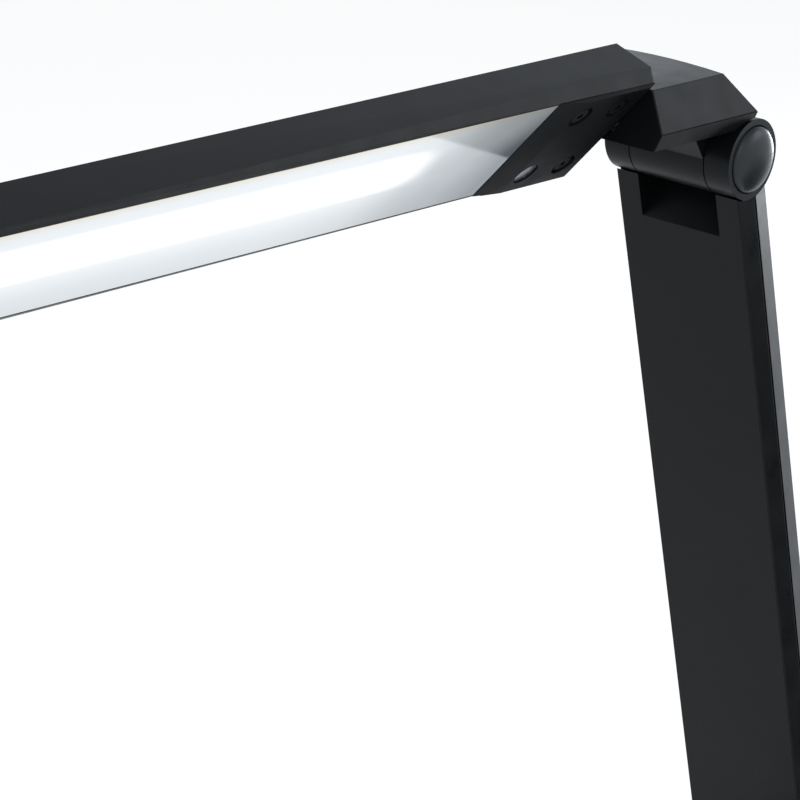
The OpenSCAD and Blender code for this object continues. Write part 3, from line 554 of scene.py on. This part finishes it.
def pale_floor():
    """A pale floor that shines only towards the camera, gloss and clear pieces, and keeps its shadow."""
    made, tree, shader = new_material("pale_floor")
    shader.inputs["Base Color"].default_value = (FLOOR_GREY, FLOOR_GREY, FLOOR_GREY, 1)
    shader.inputs["Roughness"].default_value = 0.9
    shader.inputs["Specular IOR Level"].default_value = 0.0
    path = add(tree, "ShaderNodeLightPath").outputs
    seen = maths(tree, "MAXIMUM", path["Is Camera Ray"], path["Is Glossy Ray"])
    seen = maths(tree, "MAXIMUM", seen, path["Is Transmission Ray"])
    shade = add(tree, "ShaderNodeMix", {"Factor": path["Is Glossy Ray"], "A": WHITE, "B": COOL_MIRROR},
                data_type="RGBA").outputs["Result"]
    light = add(tree, "ShaderNodeEmission", {"Color": shade, "Strength": FLOOR_STRENGTH})
    nothing = add(tree, "ShaderNodeEmission", {"Color": (0, 0, 0, 1), "Strength": 0.0})
    glow = add(tree, "ShaderNodeMixShader", {0: seen, 1: nothing.outputs[0], 2: light.outputs[0]})
    both = add(tree, "ShaderNodeAddShader", {0: shader.outputs[0], 1: glow.outputs[0]})
    tree.links.new(both.outputs[0], tree.nodes["Material Output"].inputs["Surface"])
    return made


def studio_white():
    """A room that is plain white to the camera, dimmer as light, and darker overhead to gloss."""
    world = bpy.data.worlds.new("studio_white")
    world.use_nodes = True
    tree = world.node_tree
    path = add(tree, "ShaderNodeLightPath").outputs
    seen = maths(tree, "MAXIMUM", path["Is Camera Ray"], path["Is Transmission Ray"])
    direction = add(tree, "ShaderNodeTexCoord").outputs["Generated"]
    height = add(tree, "ShaderNodeSeparateXYZ", {0: direction}).outputs["Z"]
    falling = remapped(tree, height, *MIRROR_FADE, MIRROR_LOW, MIRROR_HIGH, interpolation_type="SMOOTHSTEP")
    plain = add(tree, "ShaderNodeBackground", {"Color": ROOM_COLOUR, "Strength": ROOM_STRENGTH})
    white = add(tree, "ShaderNodeBackground", {"Color": WHITE, "Strength": 1.0})
    mirrored = add(tree, "ShaderNodeBackground", {"Color": COOL_MIRROR, "Strength": falling})
    room = add(tree, "ShaderNodeMixShader", {
        0: path["Is Glossy Ray"], 1: plain.outputs[0], 2: mirrored.outputs[0]})
    both = add(tree, "ShaderNodeMixShader", {0: seen, 1: room.outputs[0], 2: white.outputs[0]})
    tree.links.new(both.outputs[0], tree.nodes["World Output"].inputs["Surface"])
    return world


def flag(name, corners):
    """A black card lying on the floor, which only darkens what gloss picks up from there."""
    made, tree, shader = new_material(name)
    shader.inputs["Base Color"].default_value = (0.002, 0.002, 0.002, 1)
    shader.inputs["Specular IOR Level"].default_value = 0.0
    above_floor = 0.003
    shape = bmesh.new()
    shape.faces.new([shape.verts.new((x, y, above_floor)) for x, y in corners])
    card = stage_piece(name, shape, made)
    card.visible_camera = card.visible_diffuse = card.visible_transmission = card.visible_shadow = False


def softbox(name, place, aim, width, height, power):
    data = bpy.data.lights.new(name, "AREA")
    data.shape = "RECTANGLE"
    data.size, data.size_y, data.energy = width, height, power
    data.color = SOFTBOX_COLOUR
    lamp = bpy.data.objects.new(name, data)
    lamp.location = place
    lamp.rotation_euler = (Vector(aim) - Vector(place)).to_track_quat("-Z", "Y").to_euler()
    bpy.context.scene.collection.objects.link(lamp)


ground = bmesh.new()
bmesh.ops.create_grid(ground, x_segments=1, y_segments=1, size=FLOOR_SIZE)
stage_piece("floor", ground, pale_floor())
bpy.context.scene.world = studio_white()
flag("side_flag", [(0.09, 0.18), (0.60, 0.18), (1.20, 1.08), (0.36, 1.08)])
softbox("key_softbox", (-0.5, -0.7, 2.7), (0, 0, 0.25), 1.6, 1.6, 30)
softbox("low_right_softbox", (1.30, 1.50, 0.85), (0, 0, 0.45), 0.9, 0.7, 3.6)
softbox("low_back_softbox", (-0.13, 1.30, 0.14), (0, 0.03, 0.30), 0.28, 0.4, 6)
softbox("fill_softbox", (1.8, -0.8, 1.6), (0, 0, 0.25), 1.4, 1.4, 8)

# Camera: where it stands from the elbow, which way it looks back from there, and its lens in millimetres
CAMERA_FROM_ELBOW = Vector((0.6238, -0.8992, 0.3889))
CAMERA_AZIMUTH = math.radians(39.538)
CAMERA_ELEVATION = math.radians(23.634)
LENS_LENGTH = 164.97
SENSOR_WIDTH = 36

lens = bpy.data.cameras.new("photo_lens")
lens.lens = LENS_LENGTH
lens.sensor_width = SENSOR_WIDTH
lens.clip_start, lens.clip_end = 0.05, 60
camera = bpy.data.objects.new("camera", lens)
back = Vector((math.sin(CAMERA_AZIMUTH) * math.cos(CAMERA_ELEVATION),
               -math.cos(CAMERA_AZIMUTH) * math.cos(CAMERA_ELEVATION), math.sin(CAMERA_ELEVATION)))
camera.location = elbow + CAMERA_FROM_ELBOW
camera.rotation_euler = back.to_track_quat("Z", "Y").to_euler()
bpy.context.scene.collection.objects.link(camera)
bpy.context.scene.camera = camera
bpy.context.scene.view_settings.view_transform = "Standard"
